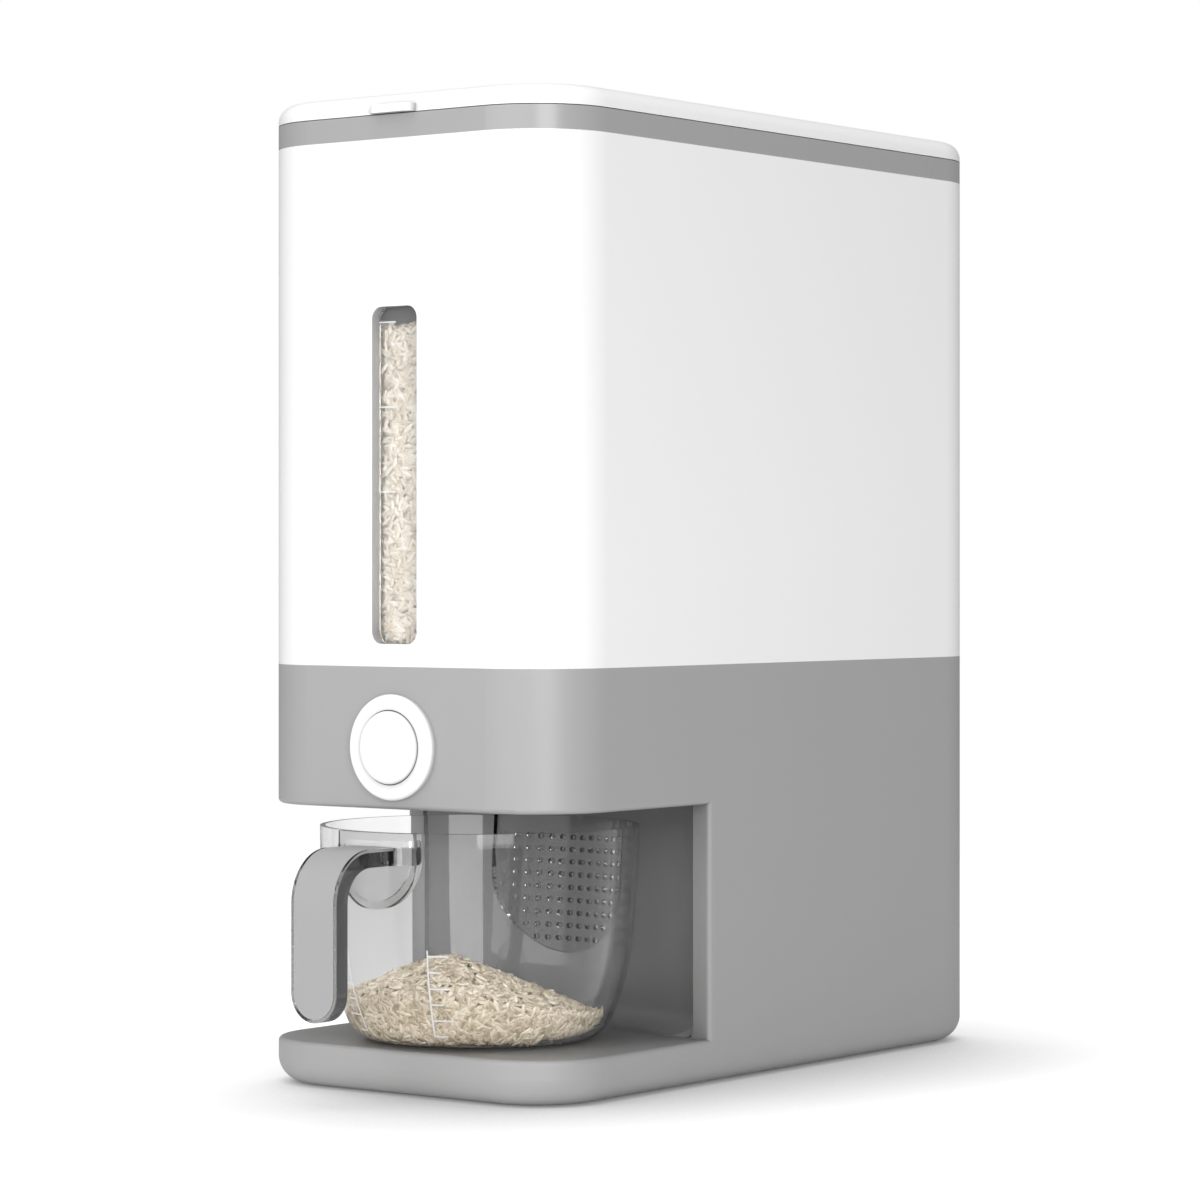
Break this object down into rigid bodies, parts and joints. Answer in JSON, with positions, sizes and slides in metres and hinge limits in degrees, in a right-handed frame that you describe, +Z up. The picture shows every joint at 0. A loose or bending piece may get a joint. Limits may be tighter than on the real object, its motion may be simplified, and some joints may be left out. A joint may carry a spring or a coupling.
{
  "type": "rice dispenser",
  "caption": "Tall rectangular countertop rice dispenser with a window, a push button that opens a sliding gate, a hinged lid and an open bay holding a clear measuring cup.",
  "frame": {"origin": "centre of the body's plan, on the underside that stands on the counter", "axes": "+X to the right seen from the front, -Y the front with window, button and cup, +Z up"},
  "size_m": [0.147, 0.3389, 0.368],
  "materials": {
    "grey_plastic": "satin warm grey ABS",
    "white_plastic": "smooth white ABS",
    "button_plastic": "smooth light plastic",
    "smoke_plastic": "transparent, slightly smoky",
    "clear_plastic": "transparent, clear",
    "liner_plastic": "plain moulded plastic",
    "mechanism_plastic": "plain moulded POM",
    "seal_rubber": "soft silicone",
    "pad_rubber": "soft rubber",
    "spring_steel": "drawn wire",
    "pin_steel": "ground pin"
  },
  "bodies": {
    "body": {"base_housing": "grey_plastic", "bay_back": "grey_plastic", "base_cover": "grey_plastic", "foot_front_left": "pad_rubber", "foot_front_right": "pad_rubber", "foot_rear_left": "pad_rubber", "foot_rear_right": "pad_rubber", "bin_shell": "white_plastic", "window_pane": "clear_plastic", "hopper": "liner_plastic", "throat_gasket": "seal_rubber", "gate_tray": "mechanism_plastic", "gate_cover": "mechanism_plastic", "button_bezel": "white_plastic", "return_spring_left": "spring_steel", "return_spring_right": "spring_steel", "collar_ring": "grey_plastic", "hinge_pin_left": "pin_steel", "hinge_pin_right": "pin_steel"},
    "lid": {"lid": "white_plastic", "lid_liner": "liner_plastic", "lid_seal": "seal_rubber"},
    "button": {"button_cap": "button_plastic", "gate_slider": "mechanism_plastic"},
    "cup": {"measuring_cup": "smoke_plastic", "cup_strainer": "smoke_plastic", "cup_handle": "smoke_plastic", "handle_inlay": "grey_plastic"}
  },
  "joints": [
    {"name": "lid_hinge", "type": "hinge", "parent": "body", "child": "lid", "pos_m": [0, 0.1404, 0.3625], "axis": [-1, 0, 0], "range_deg": [0, 90]},
    {"name": "button_press", "type": "slide", "parent": "body", "child": "button", "axis": [0, 1, 0], "range_m": [0, 0.009], "stiffness_N_per_m": 220, "springref_m": -0.004, "deforming": ["return_spring_left", "return_spring_right"]},
    {"name": "cup_pull", "type": "slide", "parent": "body", "child": "cup", "axis": [0, -1, 0], "range_m": [0, 0.13]}
  ]
}
